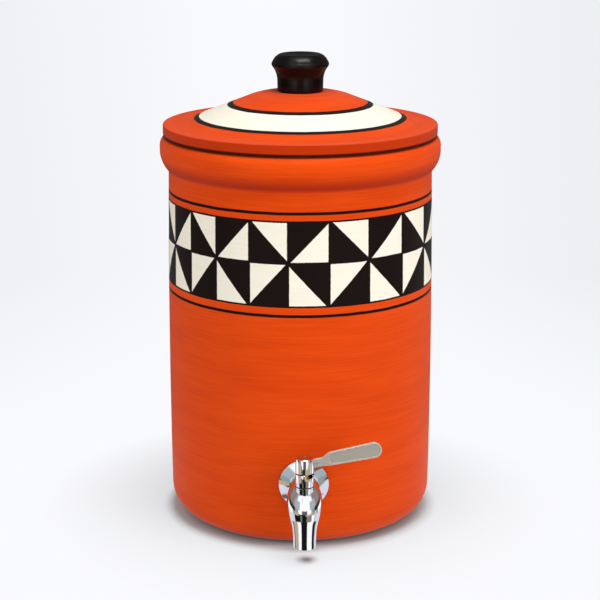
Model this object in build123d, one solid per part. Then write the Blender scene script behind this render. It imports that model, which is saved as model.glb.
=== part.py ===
from build123d import *
from math import atan2, cos, degrees, hypot, radians, sin, sqrt, tan
import os

# A terracotta water jar with a domed lid, a turned knob and a quarter-turn lever tap.
# Millimetres. The origin is the centre of the jar's base, +Z is up and the tap points along -Y.

# Jar, a wheel-turned pot with a rolled collar
jar_height = 326.0
neck_radius = 110.0
belly_swell = 1.7
foot_swell = 0.8
belly_height_share = 0.42
wall_thickness = 9.0
floor_thickness = 12.0
foot_round = 23.0
floor_round = 15.0
mouth_edge_round = 2.0
collar_projection = 6.9
collar_depth = 29.4
collar_face_depth = 13.2
collar_top_round = 9.0
collar_crease_round = 2.5

# Lid, a domed disc with a flat brim and a locating ring that drops into the mouth
lid_setback = 2.8
brim_width = 14.1
brim_thickness = 7.6
brim_top_round = 1.6
brim_under_round = 1.2
brim_dip = 0.5
dome_foot_round = 14.0
dome_crown = 2.4
dome_rise = 27.0
land_margin = 1.0
lid_wall = 8.0
ring_wall = 6.0
ring_depth = 12.5
ring_edge_bevel = 1.2
mouth_clearance = 2.4

# Knob, turned wood, and the screw that holds it from below
knob_radius = 23.8
knob_height = 30.8
knob_base_setback = 5.0
knob_waist_swell = 0.3
knob_waist_height = 9.8
knob_cap_height = 8.1
knob_lip_drop = 2.2
knob_lip_setback = 0.8
knob_shoulder_rise = 2.2
knob_shoulder_setback = 0.9
knob_crown_setback = 7.0
knob_base_bevel = 0.8
knob_top_round = 0.7
knob_rim_width = 1.6
knob_dish_depth = 2.0
knob_screw_radius = 1.75
knob_screw_bite = 14.0
knob_screw_head_radius = 3.6
knob_screw_head_height = 2.4
knob_washer_radius = 8.0
knob_washer_thickness = 1.2
screw_hole_clearance = 0.2
pilot_clearance = 0.05

# Tap: where it sits, and its shank through the wall
tap_height = 57.1
barrel_reach = 26.0
shank_radius = 6.0
shank_bore_radius = 3.2
shank_tail = 24.0
shank_end_bevel = 0.8
wall_hole_clearance = 0.8
shank_clearance = 0.2

# Rosette, the conical cover plate, and the washer inside it
rosette_radius = 20.3
rosette_front_lip = 0.5
rosette_height = 6.4
rosette_sheet = 1.1
rosette_lip = 0.8
rosette_wall_gap = 0.3
outer_washer_gap = 1.0

# Inner washer, backing washer and lock nut
inner_washer_radius = 12.0
inner_washer_thickness = 3.2
backing_washer_radius = 12.6
backing_washer_thickness = 1.2
nut_across_flats = 19.0
nut_thickness = 5.0
nut_corner_bevel = 0.9

# Tap body: a horn that swells from its stub, turns down through an elbow and narrows to the outlet
stub_radius = 11.4
elbow_radius = 14.2
outlet_radius = 9.1
spout_drop = 44.8
outlet_tip_height = 5.6
outlet_round = 1.8
outlet_bore_radius = 7.2
outlet_edge_bevel = 0.4
spout_bore_top = 10.0
neck_wall = 1.3
bonnet_pocket_gap = 0.5
# Pairs of shares: how far round the elbow, and how far the radius has gone from the stub's to the elbow's
elbow_swell_shares = ((0.0, 0.0), (0.28, 0.72), (0.56, 1.0))
# Pairs of shares: how far down the spout, and how far the radius has gone from the elbow's to the outlet's
elbow_taper_shares = ((0.82, 0.16), (1.0, 0.42))
spout_taper_shares = ((0.30, 0.72), (0.65, 0.91), (1.0, 1.0))

# Valve: a hollow rotary plug with a side port, turned by its stem
plug_radius = 5.0
plug_bore_radius = 3.4
plug_below_axis = 5.6
plug_above_axis = 3.6
plug_crown = 1.2
port_radius = 2.5
stem_radius = 3.5
running_clearance = 0.05
seat_radius = 4.2
seat_depth = 3.4
thrust_washer_thickness = 0.8
drain_radius = 3.4
o_ring_section_radius = 0.5
o_ring_flats = 6
o_ring_groove_slack = 0.15
o_ring_spacing = 3.2
lower_o_ring_rise = 3.4
drive_square = 4.6
drive_length = 5.0
tapped_hole_radius = 1.2
tapped_hole_depth = 7.0

# Bonnet, the lower barrel, with the quarter-turn stop notch in its rim
bonnet_radius = 7.4
bonnet_height = 10.6
bonnet_spigot_step = 0.6
bonnet_seat_rise = 7.6
bonnet_edge_bevel = 0.4
bonnet_gasket_thickness = 0.5
notch_depth = 3.0
notch_wall = 1.4
stop_lug_angle = 18.0
stop_clearance_angle = 2.0
stop_lug_clearance = 0.3
lever_turn = 90.0

# Hub, the upper barrel, with its index disc and screw
hub_setback = 0.05
hub_height = 11.8
hub_gap = 0.9
hub_top_bevel = 0.4
hub_web_start = 1.6
index_rim_width = 1.75
index_thickness = 1.2
index_groove_radius = 3.9
index_groove_width = 0.7
index_groove_depth = 0.35
index_dimple_radius = 1.3
hub_screw_radius = 1.15
hub_screw_head_radius = 2.5
hub_screw_head_height = 1.6
hub_recess_clearance = 0.4
index_clearance = 0.05

# Lever, a stamped blade with a narrow neck and a sunk panel
lever_reach = 62.2
lever_thickness = 2.4
lever_rise_angle = 11.3
lever_neck_height = 7.1
lever_neck_drop = 4.75
lever_paddle_height = 11.2
lever_tip_height = 13.4
lever_neck_end = 15.0
lever_shoulder = 5.5
lever_root_depth = 1.6
lever_root_rise = 7.1
lever_edge_round = 0.6
lever_shoulder_round = 3.0
lever_tip_round_share = 0.96
panel_margin = 1.3
panel_depth = 0.5
panel_round = 2.6

overrun = 1.0

# Heights that follow from the sizes above
neck_height = jar_height - collar_depth
belly_height = neck_height * belly_height_share
foot_radius = neck_radius + foot_swell
belly_radius = neck_radius + belly_swell
mouth_radius = neck_radius - wall_thickness
collar_radius = neck_radius + collar_projection
lid_radius = collar_radius - lid_setback
dome_foot_radius = lid_radius - brim_width
knob_base_radius = knob_radius - knob_base_setback
brim_top = jar_height + brim_thickness
land_radius = knob_base_radius + land_margin
land_height = brim_top + dome_rise
ring_radius = mouth_radius - mouth_clearance
rosette_front_radius = stub_radius + rosette_front_lip
bonnet_spigot_radius = plug_radius + bonnet_spigot_step
hub_radius = bonnet_radius - hub_setback
index_radius = hub_radius - index_rim_width
bonnet_seat = tap_height + bonnet_seat_rise
bonnet_low = bonnet_seat + bonnet_gasket_thickness
bonnet_top = bonnet_low + bonnet_height
hub_low = bonnet_top + hub_gap
hub_top = hub_low + hub_height
plug_bottom = tap_height - plug_below_axis
plug_top = tap_height + plug_above_axis
spigot_bottom = plug_top + thrust_washer_thickness + 2 * running_clearance
chamber_radius = plug_radius + running_clearance
stem_bore_radius = stem_radius + running_clearance


def circle_through(a, b, c):
    """Centre and radius of the circle through three points."""
    ax, ay = a
    bx, by = b
    cx, cy = c
    twice_area = 2 * (ax * (by - cy) + bx * (cy - ay) + cx * (ay - by))
    sa, sb, sc = ax * ax + ay * ay, bx * bx + by * by, cx * cx + cy * cy
    x = (sa * (by - cy) + sb * (cy - ay) + sc * (ay - by)) / twice_area
    y = (sa * (cx - bx) + sb * (ax - cx) + sc * (bx - ax)) / twice_area
    return x, y, hypot(ax - x, ay - y)


def wall_radius_at(height):
    """Outside radius of the jar's gently bellied wall at a height."""
    x, y, radius = circle_through((foot_radius, 0), (belly_radius, belly_height), (neck_radius, neck_height))
    return x + sqrt(radius**2 - (height - y) ** 2)


wall_at_tap = wall_radius_at(tap_height)
barrel_y = -(wall_at_tap + barrel_reach)
elbow_bend = barrel_reach - rosette_height
# Local z of this plane points out of the jar along the tap's shank, and local y points up
shank_plane = Plane(origin=(0, -wall_at_tap, tap_height), x_dir=(1, 0, 0), z_dir=(0, -1, 0))
inner_wall_depth = mouth_radius - wall_at_tap


def round_corner(outline, corner, radius):
    """Rounds the corner of a flat outline that lies nearest to a point."""
    vertex = outline.vertices().sort_by_distance(Vector(*corner))[0]
    return fillet(vertex, radius)


def turned(outline, x=0.0, y=0.0):
    """A solid turned about the vertical line at x, y from an outline of (radius, height)."""
    return Pos(x, y, 0) * revolve(Plane.XZ * outline, axis=Axis.Z)


def tube(outer, inner, low, high):
    """A straight vertical tube between two heights."""
    length = high - low
    ring = Circle(outer) - Circle(inner) if inner > 0 else Circle(outer)
    return Pos(0, 0, low) * extrude(ring, amount=length)


def wedge(radius, low, high, start_angle, end_angle):
    """A sector between two heights, from one azimuth to another, that covers a disc of the given radius."""
    steps = 4
    step_angle = (end_angle - start_angle) / steps
    reach = radius / cos(radians(step_angle / 2))
    corners = [(0, 0)]
    for step in range(steps + 1):
        angle = radians(start_angle + step * step_angle)
        corners.append((reach * cos(angle), reach * sin(angle)))
    return Pos(0, 0, low) * extrude(make_face(Polyline(*corners, close=True)), amount=high - low)


def make_jar():
    collar_top = (collar_radius, jar_height)
    collar_face_low = (collar_radius, jar_height - collar_face_depth)
    under_drop = collar_depth - collar_face_depth
    # The collar's underside is an arc that leaves the upright face tangentially and ends on the wall
    under_radius = (collar_projection**2 + under_drop**2) / (2 * collar_projection)
    crease = (neck_radius, neck_height)
    half_angle = atan2(under_drop, under_radius - collar_projection) / 2
    under_middle = (
        collar_radius - under_radius + under_radius * cos(half_angle),
        jar_height - collar_face_depth - under_radius * sin(half_angle),
    )
    edges = [
        Line((0, 0), (foot_radius, 0)),
        ThreePointArc((foot_radius, 0), (belly_radius, belly_height), crease),
        ThreePointArc(crease, under_middle, collar_face_low),
        Polyline(
            collar_face_low,
            collar_top,
            (mouth_radius, jar_height),
            (mouth_radius, floor_thickness),
            (0, floor_thickness),
            (0, 0),
        ),
    ]
    outline = make_face(edges)
    outline = round_corner(outline, (foot_radius, 0), foot_round)
    outline = round_corner(outline, crease, collar_crease_round)
    outline = round_corner(outline, collar_top, collar_top_round)
    outline = round_corner(outline, (mouth_radius, jar_height), mouth_edge_round)
    outline = round_corner(outline, (mouth_radius, floor_thickness), floor_round)
    hole = shank_plane * extrude(
        Circle(shank_radius + wall_hole_clearance), amount=wall_at_tap - mouth_radius / 2, both=True
    )
    return turned(outline) - hole


def dome_point(share, drop):
    """A point of the lid's dome, a share of the way from its land to its foot, lowered by a drop."""
    radius = land_radius + share * (dome_foot_radius - land_radius)
    height = land_height - share * (dome_rise + brim_dip) + 4 * dome_crown * share * (1 - share)
    return radius, height - drop


def make_lid():
    foot = dome_point(1, 0)
    land = (land_radius, land_height)
    brim_edge = (lid_radius, brim_top)
    brim_under = (lid_radius, jar_height)
    ring_low = jar_height - ring_depth
    ring_inner = ring_radius - ring_wall
    under_foot = (ring_inner, jar_height)
    under_land = (land_radius, land_height - lid_wall)
    edges = [
        Line((0, land_height), land),
        ThreePointArc(land, dome_point(1 / 2, 0), foot),
        Polyline(
            foot,
            brim_edge,
            brim_under,
            (ring_radius, jar_height),
            (ring_radius, ring_low),
            (ring_inner, ring_low),
            under_foot,
        ),
        ThreePointArc(under_foot, dome_point(1 / 2, lid_wall), under_land),
        Polyline(under_land, (0, land_height - lid_wall), (0, land_height)),
    ]
    outline = make_face(edges)
    outline = round_corner(outline, foot, dome_foot_round)
    outline = round_corner(outline, brim_edge, brim_top_round)
    outline = round_corner(outline, brim_under, brim_under_round)
    for corner in ((ring_radius, ring_low), (ring_inner, ring_low)):
        outline = chamfer(outline.vertices().sort_by_distance(Vector(*corner))[0], ring_edge_bevel)
    screw_hole = tube(knob_screw_radius + screw_hole_clearance, 0, jar_height, land_height + overrun)
    return turned(outline) - screw_hole


def make_knob():
    widest_height = knob_height - knob_cap_height
    waist = (knob_base_radius + knob_waist_swell, knob_waist_height)
    lip = (knob_radius - knob_lip_setback, widest_height - knob_lip_drop)
    shoulder = (knob_radius - knob_shoulder_setback, widest_height + knob_shoulder_rise)
    top = (knob_radius - knob_crown_setback, knob_height)
    dish_radius = top[0] - knob_rim_width
    cap = ThreePointArc(lip, (knob_radius, widest_height), shoulder)
    edges = [
        Polyline((0, 0), (knob_base_radius - knob_base_bevel, 0), (knob_base_radius, knob_base_bevel), waist),
        TangentArc(waist, lip, tangent=(0, 1)),
        cap,
        TangentArc(shoulder, top, tangent=cap % 1),
        Polyline(top, (0, knob_height), (0, 0)),
    ]
    outline = round_corner(make_face(edges), top, knob_top_round)
    pilot = tube(knob_screw_radius + pilot_clearance, 0, -overrun, knob_screw_bite + pilot_clearance)
    dish_ball_radius = (dish_radius**2 + knob_dish_depth**2) / (2 * knob_dish_depth)
    dish = Pos(0, 0, knob_height - knob_dish_depth + dish_ball_radius) * Sphere(dish_ball_radius)
    return Pos(0, 0, land_height) * (turned(outline) - pilot - dish)


def make_knob_washer():
    top = land_height - lid_wall
    hole = knob_screw_radius + screw_hole_clearance
    return tube(knob_washer_radius, hole, top - knob_washer_thickness, top)


def make_knob_screw():
    head_top = land_height - lid_wall - knob_washer_thickness
    shank = tube(knob_screw_radius, 0, head_top, land_height + knob_screw_bite)
    shank = chamfer(shank.edges().sort_by(Axis.Z)[-1], knob_screw_radius / 2)
    head = tube(knob_screw_head_radius, 0, head_top - knob_screw_head_height, head_top)
    head = fillet(head.edges().sort_by(Axis.Z)[0], knob_screw_head_height / 2)
    slot_width = knob_screw_head_radius / 4
    slot = Pos(0, 0, head_top - knob_screw_head_height) * Box(
        2 * knob_screw_head_radius, slot_width, knob_screw_head_height
    )
    return shank + (head - slot)


def rosette_inner_radius(height):
    """Radius of the inside of the rosette's cone at a height above the wall."""
    cone_height = rosette_height - rosette_lip - rosette_wall_gap
    slope = (rosette_radius - rosette_front_radius) / cone_height
    sheet_across = rosette_sheet * sqrt(1 + slope**2)
    return rosette_front_radius - sheet_across + slope * (rosette_height - height)


def make_rosette():
    low = rosette_wall_gap
    hole = shank_radius + shank_clearance
    back = rosette_height - rosette_sheet
    outline = make_face(
        Polyline(
            (hole, back),
            (rosette_inner_radius(back), back),
            (rosette_inner_radius(low), low),
            (rosette_radius, low),
            (rosette_radius, low + rosette_lip),
            (rosette_front_radius, rosette_height),
            (hole, rosette_height),
            close=True,
        )
    )
    outline = round_corner(outline, (rosette_front_radius, rosette_height), rosette_sheet)
    outline = round_corner(outline, (rosette_radius, low + rosette_lip), rosette_lip / 2)
    return shank_plane * revolve(Plane.XZ * outline, axis=Axis.Z)


def make_outer_washer(jar):
    front = rosette_height - rosette_sheet
    radius = rosette_inner_radius(front) - outer_washer_gap
    blank = tube(radius, shank_radius + shank_clearance, -overrun, front)
    return shank_plane * blank - jar


def make_inner_washer(jar):
    blank = tube(
        inner_washer_radius,
        shank_radius + shank_clearance,
        inner_wall_depth - inner_washer_thickness,
        inner_wall_depth + overrun,
    )
    return shank_plane * blank - jar


def make_backing_washer():
    front = inner_wall_depth - inner_washer_thickness
    return shank_plane * tube(
        backing_washer_radius, shank_radius + shank_clearance, front - backing_washer_thickness, front
    )


def make_lock_nut():
    front = inner_wall_depth - inner_washer_thickness - backing_washer_thickness
    back = front - nut_thickness
    corner = nut_across_flats / 2 / cos(radians(30))
    blank = Pos(0, 0, back) * extrude(RegularPolygon(corner, 6), amount=nut_thickness)
    bevel_rise = nut_corner_bevel * tan(radians(30))
    envelope = make_face(
        Polyline(
            (0, back),
            (corner - nut_corner_bevel, back),
            (corner, back + bevel_rise),
            (corner, front - bevel_rise),
            (corner - nut_corner_bevel, front),
            (0, front),
            close=True,
        )
    )
    nut = blank & revolve(Plane.XZ * envelope, axis=Axis.Z)
    nut -= tube(shank_radius + running_clearance, 0, back - overrun, front + overrun)
    return shank_plane * nut


def horn_sections():
    """Circles along the horn, square to its centre line, from the stub round the elbow to the outlet."""
    bend_height = tap_height - elbow_bend
    sections = []
    for share, swell in elbow_swell_shares:
        sections.append((share, stub_radius + swell * (elbow_radius - stub_radius)))
    for share, taper in elbow_taper_shares:
        sections.append((share, elbow_radius + taper * (outlet_radius - elbow_radius)))
    circles = []
    for share, radius in sections:
        turn = radians(90 * share)
        centre = (0, barrel_y + elbow_bend * (1 - sin(turn)), bend_height + elbow_bend * cos(turn))
        along = (0, -cos(turn), -sin(turn))
        circles.append(Plane(origin=centre, x_dir=(1, 0, 0), z_dir=along) * Circle(radius))
    for share, taper in spout_taper_shares:
        centre = (0, barrel_y, bend_height - share * (spout_drop - elbow_bend - outlet_tip_height))
        radius = elbow_radius + taper * (outlet_radius - elbow_radius)
        circles.append(Plane(origin=centre, x_dir=(1, 0, 0), z_dir=(0, 0, -1)) * Circle(radius))
    return circles


def make_tap_body():
    outlet = tap_height - spout_drop
    tip = tube(outlet_radius, 0, outlet, outlet + outlet_tip_height)
    tip = fillet(tip.edges().filter_by(GeomType.CIRCLE).sort_by(Axis.Z)[0], outlet_round)
    horn = loft(horn_sections()) + Pos(0, barrel_y, 0) * tip
    # The neck that carries the bonnet, and the round pocket that clears it in the elbow
    neck_radius = bonnet_spigot_radius + running_clearance + neck_wall
    horn += Pos(0, barrel_y, 0) * tube(neck_radius, 0, tap_height, bonnet_seat)
    horn -= Pos(0, barrel_y, 0) * tube(
        bonnet_radius + bonnet_pocket_gap, 0, bonnet_seat, bonnet_seat + 2 * elbow_radius
    )
    shank_end = inner_wall_depth - shank_tail
    shank = Pos(0, 0, shank_end) * extrude(Circle(shank_radius), amount=rosette_height - shank_end + overrun)
    shank = chamfer(shank.edges().sort_by(Axis.Z)[0], shank_end_bevel)
    return horn + shank_plane * shank - tap_waterway(shank_end, outlet)


def tap_waterway(shank_end, outlet):
    """The passages inside the tap body, from the shank's open end to the outlet."""
    inlet = shank_plane * tube(shank_bore_radius, 0, shank_end - overrun, barrel_reach)
    seat_back = barrel_reach - chamber_radius - seat_depth
    pocket = shank_plane * tube(seat_radius, 0, seat_back, barrel_reach)
    chamber = tube(chamber_radius, 0, plug_bottom - running_clearance, bonnet_seat + overrun)
    socket = tube(bonnet_spigot_radius + running_clearance, 0, spigot_bottom, bonnet_seat + overrun)
    drain = tube(drain_radius, 0, tap_height - spout_bore_top - overrun, tap_height)
    spout_bore = tube(outlet_bore_radius, 0, outlet - overrun, tap_height - spout_bore_top)
    lead_in = Pos(0, 0, outlet + outlet_edge_bevel / 2) * Cone(
        outlet_bore_radius + outlet_edge_bevel, outlet_bore_radius, outlet_edge_bevel
    )
    return inlet + pocket + Pos(0, barrel_y, 0) * (chamber + socket + drain + spout_bore + lead_in)


def make_inlet_seat():
    back = barrel_reach - chamber_radius - seat_depth
    ring = shank_plane * tube(seat_radius, port_radius, back, barrel_reach)
    return ring - Pos(0, barrel_y, 0) * tube(
        chamber_radius, 0, plug_bottom - overrun - seat_radius, plug_top + overrun + seat_radius
    )


def o_ring_heights():
    lower = spigot_bottom + lower_o_ring_rise
    return [lower, lower + o_ring_spacing]


def make_plug_spindle():
    drive_low = hub_low + hub_web_start
    plug = tube(plug_radius, 0, plug_bottom, plug_top)
    plug -= tube(plug_bore_radius, 0, plug_bottom - overrun, plug_top - plug_crown)
    port = Pos(-plug_radius, 0, tap_height) * (Rot(0, 90, 0) * Cylinder(port_radius, 2 * plug_radius))
    plug -= port
    stem = tube(stem_radius, 0, plug_top, drive_low)
    groove_radius = stem_radius - 2 * o_ring_section_radius
    half_groove = o_ring_section_radius + o_ring_groove_slack
    for height in o_ring_heights():
        stem -= tube(stem_radius + overrun, groove_radius, height - half_groove, height + half_groove)
    drive = Pos(0, 0, drive_low) * extrude(Rectangle(drive_square, drive_square), amount=drive_length)
    spindle = plug + stem + drive
    top = drive_low + drive_length
    spindle -= tube(tapped_hole_radius, 0, top - tapped_hole_depth, top + overrun)
    return Pos(0, barrel_y, 0) * spindle


def make_spindle_o_rings():
    # The rings' round section is drawn with flats, two of which lie on the stem's groove and the bonnet's bore
    corner_radius = o_ring_section_radius / cos(radians(180 / o_ring_flats))
    section = RegularPolygon(corner_radius, o_ring_flats, rotation=180 / o_ring_flats)
    ring = revolve(Plane.XZ * Pos(stem_radius - o_ring_section_radius, 0) * section, axis=Axis.Z)
    return Compound(children=[Pos(0, barrel_y, height) * ring for height in o_ring_heights()])


def make_thrust_washer():
    low = plug_top + running_clearance
    ring = tube(plug_radius, stem_bore_radius, low, low + thrust_washer_thickness)
    return Pos(0, barrel_y, 0) * ring


def make_bonnet_gasket():
    ring = tube(bonnet_radius, bonnet_spigot_radius + running_clearance, bonnet_seat, bonnet_low)
    return Pos(0, barrel_y, 0) * ring


def make_bonnet():
    barrel = tube(bonnet_radius, 0, bonnet_low, bonnet_top)
    barrel = chamfer(barrel.edges().filter_by(GeomType.CIRCLE), bonnet_edge_bevel)
    spigot = tube(bonnet_spigot_radius, 0, spigot_bottom, bonnet_low)
    bonnet = barrel + spigot
    floor = bonnet_top - notch_depth
    bonnet -= tube(stem_bore_radius, 0, spigot_bottom - overrun, bonnet_top + overrun)
    bonnet -= tube(bonnet_radius - notch_wall, 0, floor, bonnet_top + overrun)
    notch_start = -lever_turn - stop_clearance_angle
    notch_end = stop_lug_angle + stop_clearance_angle
    bonnet -= wedge(bonnet_radius + overrun, floor, bonnet_top + overrun, notch_start, notch_end)
    return Pos(0, barrel_y, 0) * bonnet


def blade_outline(root, margin):
    """Outline of the lever's paddle, drawn in by a margin, on a neck that starts at a root inside the hub."""
    paddle = lever_paddle_height / 2 - margin
    tip = lever_tip_height / 2 - margin
    end = lever_reach - margin
    shoulder = lever_neck_end + lever_shoulder
    corners = [(shoulder, -paddle), (end, -tip), (end, tip), (shoulder, paddle)]
    rounds = [panel_round, tip * lever_tip_round_share, tip * lever_tip_round_share, panel_round]
    if root is not None:
        neck_low = -lever_neck_drop
        neck_top = neck_low + lever_neck_height
        neck_start = [(root, neck_low), (lever_neck_end, neck_low)]
        corners = neck_start + corners + [(lever_neck_end, neck_top), (root, neck_top)]
        rounds = [0, *[lever_shoulder_round] * 2, *rounds[1:3], *[lever_shoulder_round] * 2, 0]
    outline = make_face(Polyline(*corners, close=True))
    for corner, radius in zip(corners, rounds):
        if radius > 0:
            outline = round_corner(outline, corner, radius)
    return outline


def lever_plane():
    """Upright plane of the lever: local x runs up along the blade and local z faces the front."""
    tilt = radians(lever_rise_angle)
    return Plane(
        origin=(0, barrel_y, hub_low + lever_root_rise),
        x_dir=(cos(tilt), 0, sin(tilt)),
        z_dir=(0, -1, 0),
    )


def lever_blank():
    root = hub_radius - lever_root_depth
    return extrude(blade_outline(root, 0), amount=lever_thickness / 2, both=True)


def make_lever():
    blade = lever_blank()
    rims = [edge for face in blade.faces().filter_by(Axis.Z) for edge in face.edges()]
    blade = fillet([edge for edge in rims if edge.center().X > hub_radius], lever_edge_round)
    panel = Pos(0, 0, lever_thickness / 2 - panel_depth) * extrude(
        blade_outline(None, panel_margin), amount=panel_depth + overrun
    )
    return lever_plane() * (blade - panel)


def make_lever_hub():
    hub = tube(hub_radius, 0, hub_low, hub_top)
    hub = chamfer(hub.edges().filter_by(GeomType.CIRCLE).sort_by(Axis.Z)[-1], hub_top_bevel)
    web_low = hub_low + hub_web_start
    web_top = web_low + drive_length + hub_recess_clearance
    index_low = hub_top - index_thickness
    hub -= tube(stem_bore_radius + hub_recess_clearance, 0, hub_low - overrun, web_low)
    socket = drive_square + 2 * running_clearance
    hub -= Pos(0, 0, web_low) * extrude(Rectangle(socket, socket), amount=drive_length + overrun)
    hub -= tube(hub_screw_head_radius + hub_recess_clearance, 0, web_top, hub_top)
    hub -= tube(index_radius + index_clearance, 0, index_low, hub_top + overrun)
    lug_low = bonnet_top - notch_depth + stop_lug_clearance
    lug = tube(bonnet_radius, bonnet_radius - notch_wall + stop_lug_clearance, lug_low, hub_low)
    lug &= wedge(bonnet_radius + overrun, lug_low, hub_low, 0, stop_lug_angle)
    hub += lug
    hub = Pos(0, barrel_y, 0) * hub
    return hub - lever_plane() * lever_blank()


def make_hub_screw():
    drive_top = hub_low + hub_web_start + drive_length
    head_low = drive_top + hub_recess_clearance
    shank = tube(hub_screw_radius, 0, drive_top - tapped_hole_depth + overrun, head_low)
    head = tube(hub_screw_head_radius, 0, head_low, head_low + hub_screw_head_height)
    head = fillet(head.edges().filter_by(GeomType.CIRCLE).sort_by(Axis.Z)[-1], hub_screw_head_height / 3)
    recess = Pos(0, 0, head_low + hub_screw_head_height / 2) * extrude(
        RegularPolygon(hub_screw_head_radius / 2, 6), amount=hub_screw_head_height
    )
    return Pos(0, barrel_y, 0) * (shank + head - recess)


def make_index_disc():
    low = hub_top - index_thickness
    disc = tube(index_radius, 0, low, hub_top)
    groove_inner = index_groove_radius - index_groove_width
    disc -= tube(index_groove_radius, groove_inner, hub_top - index_groove_depth, hub_top + overrun)
    dimple_ball_radius = (index_dimple_radius**2 + index_groove_depth**2) / (2 * index_groove_depth)
    disc -= Pos(0, 0, hub_top + dimple_ball_radius - index_groove_depth) * Sphere(dimple_ball_radius)
    return Pos(0, barrel_y, 0) * disc


def build():
    jar = make_jar()
    return {
        "jar": jar,
        "lid": make_lid(),
        "knob": make_knob(),
        "knob_washer": make_knob_washer(),
        "knob_screw": make_knob_screw(),
        "tap_body": make_tap_body(),
        "rosette": make_rosette(),
        "outer_washer": make_outer_washer(jar),
        "inner_washer": make_inner_washer(jar),
        "backing_washer": make_backing_washer(),
        "lock_nut": make_lock_nut(),
        "inlet_seat": make_inlet_seat(),
        "thrust_washer": make_thrust_washer(),
        "bonnet_gasket": make_bonnet_gasket(),
        "bonnet": make_bonnet(),
        "plug_spindle": make_plug_spindle(),
        "spindle_o_rings": make_spindle_o_rings(),
        "lever_hub": make_lever_hub(),
        "lever": make_lever(),
        "hub_screw": make_hub_screw(),
        "index_disc": make_index_disc(),
    }


os.makedirs("parts", exist_ok=True)
for name, shape in build().items():
    export_step(shape, f"parts/{name}.step")
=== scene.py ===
from math import acos, atan2, cos, hypot, pi, radians, sin, sqrt, tan

import bmesh
import bpy
from mathutils import Matrix, Vector, noise


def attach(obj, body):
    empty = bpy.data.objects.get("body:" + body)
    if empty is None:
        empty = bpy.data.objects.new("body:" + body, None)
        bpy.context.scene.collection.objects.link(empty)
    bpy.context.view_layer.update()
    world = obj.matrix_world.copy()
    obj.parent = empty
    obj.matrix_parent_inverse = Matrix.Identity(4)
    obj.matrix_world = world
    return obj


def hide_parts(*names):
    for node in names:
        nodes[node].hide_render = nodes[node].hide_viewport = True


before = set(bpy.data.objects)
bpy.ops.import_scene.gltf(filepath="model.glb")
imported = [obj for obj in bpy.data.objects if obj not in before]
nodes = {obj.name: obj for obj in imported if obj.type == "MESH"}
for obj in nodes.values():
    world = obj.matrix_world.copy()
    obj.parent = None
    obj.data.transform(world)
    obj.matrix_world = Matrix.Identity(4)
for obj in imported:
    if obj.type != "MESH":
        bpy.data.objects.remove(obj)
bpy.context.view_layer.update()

# The looks of a terracotta water jar: painted clay, a black turned knob and a chromed lever tap.
# Sizes are written in millimetres, as in the part's own source, and turned into metres by MM.
MM = 0.001

JAR_HEIGHT, JAR_FLOOR = 326.0, 12.0
FOOT_RADIUS, BELLY_RADIUS, NECK_RADIUS = 110.8, 111.7, 110.0
BELLY_HEIGHT, NECK_HEIGHT = 124.6, 296.6
MOUTH_RADIUS, COLLAR_RADIUS = 101.0, 116.9
COLLAR_FACE_LOW = 312.8
WALL_HOLE_RADIUS = 6.8
LID_RADIUS, BRIM_TOP, DOME_FOOT_RADIUS = 114.1, 333.6, 100.0
LAND_RADIUS, LAND_HEIGHT = 19.8, 360.6
LID_WALL, SCREW_HOLE_RADIUS = 8.0, 1.95
TAP_HEIGHT, WALL_AT_TAP = 57.1, 111.435
BARREL_Y, BARREL_INSIDE = -137.435, 6.9
ROSETTE_HEIGHT = 6.4
STUB_RADIUS, ELBOW_RADIUS, OUTLET_RADIUS = 11.4, 14.2, 9.1
ELBOW_BEND = 19.6
OUTLET_HEIGHT, OUTLET_TIP, OUTLET_ROUND = 12.3, 5.6, 1.8
BONNET_SEAT = 64.7
SPOUT_BORE, SHANK_BORE = 7.2, 3.2
SAME_PLACE = 1e-6


# ---------------------------------------------------------------- mesh tools

class Outline:
    """A pen that draws the wire to be turned, in radius and height, with its corners rounded."""

    def __init__(self, radius, height):
        self.bm = bmesh.new()
        self.last = self.bm.verts.new((radius * MM, 0, height * MM))
        self.corners = []

    def to(self, radius, height, round_by=0.0):
        """A straight line to a point, whose corner is rounded later by the radius given."""
        vert = self.bm.verts.new((radius * MM, 0, height * MM))
        self.bm.edges.new((self.last, vert))
        self.last = vert
        if round_by:
            self.corners.append((vert, round_by * MM))
        return self

    def arc(self, middle, end, steps):
        """An arc from the pen's place through a middle point to an end point."""
        start = (self.last.co.x / MM, self.last.co.z / MM)
        cx, cz = circle_centre(start, middle, end)
        turn = atan2(end[0] - cx, end[1] - cz) - atan2(start[0] - cx, start[1] - cz)
        turn = (turn + pi) % (2 * pi) - pi
        swept = bmesh.ops.spin(self.bm, geom=[self.last], cent=(cx * MM, 0, cz * MM), axis=(0, 1, 0),
                               angle=turn, steps=steps, use_duplicate=False)
        self.last = [v for v in swept["geom_last"] if isinstance(v, bmesh.types.BMVert)][0]
        return self

    def round_corners(self, segments=6):
        """Rounds the corners that were asked for, each by an arc that meets both its lines."""
        for vert, radius in self.corners:
            a, b = [(e.other_vert(vert).co - vert.co).normalized() for e in vert.link_edges]
            turning = pi - acos(max(-1.0, min(1.0, a.dot(b))))
            bmesh.ops.bevel(self.bm, geom=[vert], offset=radius * tan(turning / 2), offset_type="OFFSET",
                            segments=segments, profile=0.5, affect="VERTICES", material=-1)
        self.corners = []
        return self

    def turned(self, steps, centre=(0.0, 0.0)):
        """Turns the wire about its upright axis into a closed skin, moved to a centre."""
        self.round_corners()
        bmesh.ops.spin(self.bm, geom=self.bm.verts[:] + self.bm.edges[:], cent=(0, 0, 0),
                       axis=(0, 0, 1), angle=2 * pi, steps=steps, use_merge=True, use_duplicate=False)
        return closed(self.bm, centre)


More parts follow.
